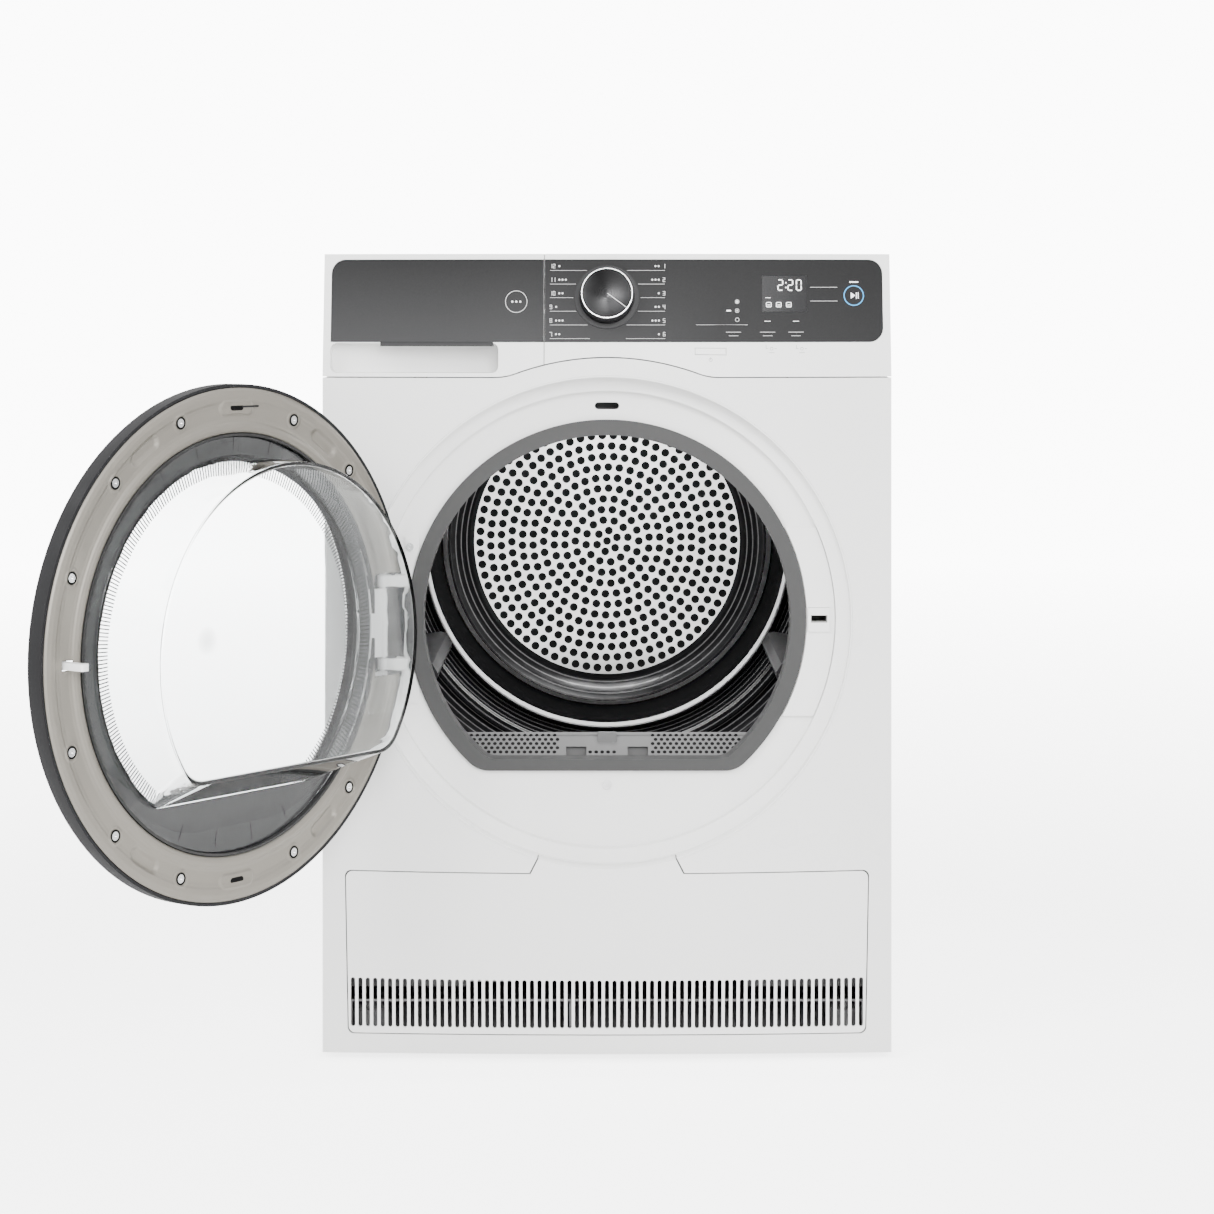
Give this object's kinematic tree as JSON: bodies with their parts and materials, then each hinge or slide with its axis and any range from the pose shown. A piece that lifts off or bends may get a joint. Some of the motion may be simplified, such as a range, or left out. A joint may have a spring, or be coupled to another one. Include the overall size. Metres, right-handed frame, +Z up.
{
  "type": "clothes dryer",
  "caption": "Front-loading heat-pump clothes dryer: white cabinet, dark control fascia, round glazed door standing open, steel drum, water drawer and lower vent flap.",
  "frame": {"origin": "on the floor under the middle of the cabinet's front edge line", "axes": "+X to the user's right, -Y out of the front towards the user, +Z up"},
  "size_m": [0.8317, 1.0388, 0.85],
  "materials": {
    "white_enamel": "smooth gloss enamel",
    "white_plastic": "semi-gloss moulding",
    "dark_panel": "dark satin film with a light gradient",
    "display_pane": "near-black smoked pane",
    "dark_rim": "dark grey satin",
    "warm_grey": "warm grey metallic lacquer",
    "clear_glass": "clear polished",
    "smoked_glass": "clear in the middle, dark printed border",
    "grey_rubber": "smooth grey rubber",
    "black_rubber": "black rubber",
    "black_plastic": "black moulding",
    "drum_steel": "polished stainless steel",
    "zinc_steel": "zinc-plated sheet",
    "chrome": "bright screws",
    "copper_black": "black painted steel",
    "aluminium_fin": "bare fins",
    "grey_felt": "pressed wool felt",
    "filter_grey": "grey moulding with fine mesh",
    "board_green": "circuit board",
    "base_grey": "grey moulding"
  },
  "bodies": {
    "cabinet": {"front_panel": "white_enamel", "recess_ring": "white_plastic", "front_bulkhead": "base_grey", "filter_duct": "base_grey", "loading_seal": "grey_rubber", "latch_cover": "white_plastic", "latch_socket": "white_plastic", "side_panels": "white_enamel", "worktop": "white_plastic", "rear_panel": "zinc_steel", "rear_cover": "zinc_steel", "rear_bulkhead": "zinc_steel", "base_tray": "base_grey", "tank_shelf": "base_grey", "control_fascia": "white_plastic", "control_panel": "dark_panel", "display_window": "display_pane", "control_board": "board_green", "knob_bezel": "black_plastic", "hinge_bracket": "white_enamel", "drum_bearing": "black_plastic", "front_felt": "grey_felt", "drive_belt": "black_rubber", "motor_case": "zinc_steel", "fan_housing": "base_grey", "idler_arm": "zinc_steel", "compressor": "copper_black", "heat_exchangers": "aluminium_fin", "drain_pump": "black_plastic", "panel_screws": "chrome", "mains_inlet": "black_plastic", "drain_spigot": "base_grey", "level_feet": "base_grey", "roller_axles": "chrome"},
    "door": {"door_frame": "dark_rim", "door_glass": "smoked_glass", "door_inner_ring": "warm_grey", "door_gasket": "black_rubber", "door_bowl": "clear_glass", "door_screws": "chrome", "hinge_leaf": "white_enamel"},
    "door_catch": {"latch_hook": "white_plastic"},
    "drum": {"drum_shell": "drum_steel", "drum_rear_disc": "drum_steel", "drum_lifters": "black_plastic", "drum_shaft": "chrome"},
    "rotor": {"motor_shaft": "chrome", "motor_pulley": "chrome", "process_fan": "black_plastic"},
    "roller_left": {"drum_roller_left": "black_rubber"},
    "roller_right": {"drum_roller_right": "black_rubber"},
    "tension_pulley": {"idler_pulley": "black_plastic"},
    "water_drawer": {"drawer_front": "white_plastic", "drawer_insert": "dark_panel", "water_tank": "white_plastic"},
    "selector": {"programme_knob": "black_plastic", "knob_shaft": "chrome"},
    "power_key": {"power_button": "white_plastic"},
    "filter": {"lint_filter": "filter_grey"},
    "flap": {"kick_panel": "white_plastic"}
  },
  "joints": [
    {"name": "door_hinge", "type": "hinge", "parent": "cabinet", "child": "door", "pos_m": [-0.2356, -0.0157, 0.4635], "axis": [0, 0, 1], "range_deg": [-15, 126.7]},
    {"name": "catch_pivot", "type": "hinge", "parent": "door", "child": "door_catch", "pos_m": [-0.50189, -0.38919, 0.4635], "axis": [0, 0, 1], "range_deg": [-8, 0], "stiffness_Nm_per_rad": 0.6},
    {"name": "drum_spin", "type": "hinge", "parent": "cabinet", "child": "drum", "pos_m": [0, 0.28, 0.508], "axis": [0, 1, 0], "continuous": true},
    {"name": "rotor_spin", "type": "hinge", "parent": "cabinet", "child": "rotor", "pos_m": [0.06, 0.19, 0.13], "axis": [0, 1, 0], "continuous": true},
    {"name": "roller_left_spin", "type": "hinge", "parent": "cabinet", "child": "roller_left", "pos_m": [-0.20402, 0.092, 0.26486], "axis": [0, 1, 0], "continuous": true},
    {"name": "roller_right_spin", "type": "hinge", "parent": "cabinet", "child": "roller_right", "pos_m": [0.20402, 0.092, 0.26486], "axis": [0, 1, 0], "continuous": true},
    {"name": "tension_pulley_spin", "type": "hinge", "parent": "cabinet", "child": "tension_pulley", "pos_m": [0.12026, 0.192, 0.16228], "axis": [0, 1, 0], "continuous": true},
    {"name": "water_drawer_slide", "type": "slide", "parent": "cabinet", "child": "water_drawer", "axis": [0, -1, 0], "range_m": [0, 0.45]},
    {"name": "selector_turn", "type": "hinge", "parent": "cabinet", "child": "selector", "pos_m": [0, -0.00688, 0.804], "axis": [0, -0.9777, 0.21], "continuous": true},
    {"name": "power_key_push", "type": "slide", "parent": "cabinet", "child": "power_key", "axis": [-0.0542, 0.977, -0.2061], "range_m": [0, 0.0015], "stiffness_N_per_m": 400},
    {"name": "filter_lift", "type": "slide", "parent": "cabinet", "child": "filter", "axis": [0, 0, -1], "range_m": [-0.15, 0]},
    {"name": "flap_tip", "type": "hinge", "parent": "cabinet", "child": "flap", "pos_m": [0, -0.011, 0.029], "axis": [1, 0, 0], "range_deg": [0, 80]}
  ],
  "couplings": [
    {"joint": "rotor_spin", "follows": "drum_spin", "ratio": 23.917},
    {"joint": "roller_left_spin", "follows": "drum_spin", "ratio": -9.5667},
    {"joint": "roller_right_spin", "follows": "drum_spin", "ratio": -9.5667},
    {"joint": "tension_pulley_spin", "follows": "drum_spin", "ratio": -20.5}
  ]
}
